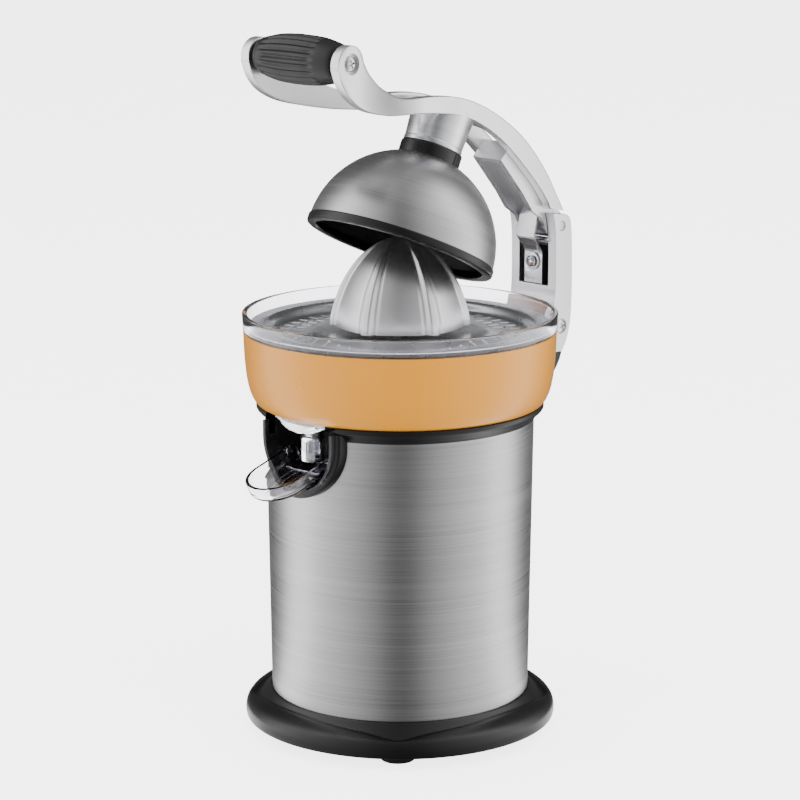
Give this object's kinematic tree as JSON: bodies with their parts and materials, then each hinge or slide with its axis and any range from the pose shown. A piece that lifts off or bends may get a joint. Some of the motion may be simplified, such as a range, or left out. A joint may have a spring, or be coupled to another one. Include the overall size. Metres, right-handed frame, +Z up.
{
  "type": "citrus press juicer",
  "caption": "Upright electric citrus press: steel housing, clear bowl with an orange band, ribbed reamer, strainer, tilting spout and a forked lever arm that swings a dome down on the fruit.",
  "frame": {"origin": "under the middle of the object's outline, at the level of the feet, which is the top of the table; the axis of the housing and reamer stands 6 mm in front of it, at Y -0.006", "axes": "+Z up along the reamer's axis; the spout faces -Y; the column and the arm's hinge are at +Y; +X is the arm hinge's axis"},
  "size_m": [0.1654, 0.2165, 0.3711],
  "materials": {
    "base_flange": "glossy black ABS",
    "rubber_feet": "soft black rubber",
    "bottom_cover": "black moulded plastic",
    "bottom_screws": "machined steel",
    "mains_gland": "soft black rubber",
    "steel_housing": "brushed stainless steel",
    "top_collar": "glossy black ABS",
    "outlet_surround": "glossy black ABS",
    "top_deck": "black moulded plastic",
    "shaft_seal": "soft black rubber",
    "bowl_band": "glossy orange plastic",
    "juice_bowl": "clear moulded plastic",
    "strainer": "stainless steel",
    "idler_pin": "machined steel",
    "motor_can": "zinc plated steel",
    "motor_end_cap": "zinc plated steel",
    "gear_case": "black moulded plastic",
    "gear_case_cover": "black moulded plastic",
    "shaft_bush": "brass",
    "support_posts": "zinc plated steel",
    "return_spring": "machined steel",
    "start_switch": "black moulded plastic",
    "switch_bracket": "machined steel",
    "rear_bracket": "black moulded plastic",
    "bracket_screws": "machined steel",
    "column": "satin cast aluminium",
    "hinge_pin": "machined steel",
    "stop_pin": "machined steel",
    "column_screws": "machined steel",
    "column_liner": "black moulded plastic",
    "leaf_spring": "machined steel",
    "leaf_washer": "machined steel",
    "leaf_screw": "machined steel",
    "arm_casting": "satin cast aluminium",
    "hinge_block": "satin cast aluminium",
    "grip": "black moulded plastic",
    "grip_rod": "machined steel",
    "grip_screws": "machined steel",
    "press_neck": "satin cast aluminium",
    "neck_collar": "black moulded plastic",
    "press_dome": "brushed stainless steel",
    "dome_ring": "black moulded plastic",
    "dome_liner": "black moulded plastic",
    "dome_bolt": "machined steel",
    "drip_spout": "clear moulded plastic",
    "press_slider": "natural nylon",
    "reamer_cone": "stainless steel",
    "reamer_core": "natural nylon",
    "drive_shaft": "machined steel",
    "output_gear": "natural nylon",
    "idler_gear": "natural nylon",
    "rotor_shaft": "machined steel",
    "armature": "laminated steel",
    "motor_pinion": "brass"
  },
  "bodies": {
    "housing": {"base_flange": "base_flange", "rubber_feet": "rubber_feet", "bottom_cover": "bottom_cover", "bottom_screws": "bottom_screws", "mains_gland": "mains_gland", "steel_housing": "steel_housing", "top_collar": "top_collar", "outlet_surround": "outlet_surround", "top_deck": "top_deck", "shaft_seal": "shaft_seal", "bowl_band": "bowl_band", "juice_bowl": "juice_bowl", "strainer": "strainer", "idler_pin": "idler_pin", "motor_can": "motor_can", "motor_end_cap": "motor_end_cap", "gear_case": "gear_case", "gear_case_cover": "gear_case_cover", "shaft_bush": "shaft_bush", "support_posts": "support_posts", "return_spring": "return_spring", "start_switch": "start_switch", "switch_bracket": "switch_bracket", "rear_bracket": "rear_bracket", "bracket_screws": "bracket_screws", "column": "column", "hinge_pin": "hinge_pin", "stop_pin": "stop_pin", "column_screws": "column_screws", "column_liner": "column_liner", "leaf_spring": "leaf_spring", "leaf_washer": "leaf_washer", "leaf_screw": "leaf_screw"},
    "arm": {"arm_casting": "arm_casting", "hinge_block": "hinge_block", "grip": "grip", "grip_rod": "grip_rod", "grip_screws": "grip_screws", "press_neck": "press_neck", "neck_collar": "neck_collar", "press_dome": "press_dome", "dome_ring": "dome_ring", "dome_liner": "dome_liner", "dome_bolt": "dome_bolt"},
    "spout": {"drip_spout": "drip_spout"},
    "press_slider": {"press_slider": "press_slider"},
    "reamer": {"reamer_cone": "reamer_cone", "reamer_core": "reamer_core", "drive_shaft": "drive_shaft"},
    "output_gear": {"output_gear": "output_gear"},
    "idler": {"idler_gear": "idler_gear"},
    "rotor": {"rotor_shaft": "rotor_shaft", "armature": "armature", "motor_pinion": "motor_pinion"}
  },
  "joints": [
    {"name": "arm_hinge", "type": "hinge", "parent": "housing", "child": "arm", "pos_m": [0, 0.0999, 0.2579], "axis": [1, 0, 0], "range_deg": [-50, 18]},
    {"name": "spout_tilt", "type": "hinge", "parent": "housing", "child": "spout", "pos_m": [0, -0.07, 0.156], "axis": [-1, 0, 0], "range_deg": [0, 30]},
    {"name": "reamer_press", "type": "slide", "parent": "housing", "child": "press_slider", "axis": [0, 0, -1], "range_m": [0, 0.0025], "stiffness_N_per_m": 2500, "springref_m": -0.002},
    {"name": "motor_spin", "type": "hinge", "parent": "housing", "child": "rotor", "pos_m": [-0.027, 0.0166, 0.06], "axis": [0, 0, 1], "continuous": true},
    {"name": "reamer_spin", "type": "hinge", "parent": "press_slider", "child": "reamer", "pos_m": [0, -0.006, 0.2], "axis": [0, 0, 1], "continuous": true},
    {"name": "output_spin", "type": "hinge", "parent": "housing", "child": "output_gear", "pos_m": [0, -0.006, 0.116], "axis": [0, 0, 1], "continuous": true},
    {"name": "idler_spin", "type": "hinge", "parent": "housing", "child": "idler", "pos_m": [0, 0.0303, 0.11], "axis": [0, 0, 1], "continuous": true}
  ],
  "couplings": [
    {"joint": "reamer_spin", "follows": "motor_spin", "ratio": 0.05},
    {"joint": "output_spin", "follows": "motor_spin", "ratio": 0.05},
    {"joint": "idler_spin", "follows": "motor_spin", "ratio": -0.25}
  ]
}
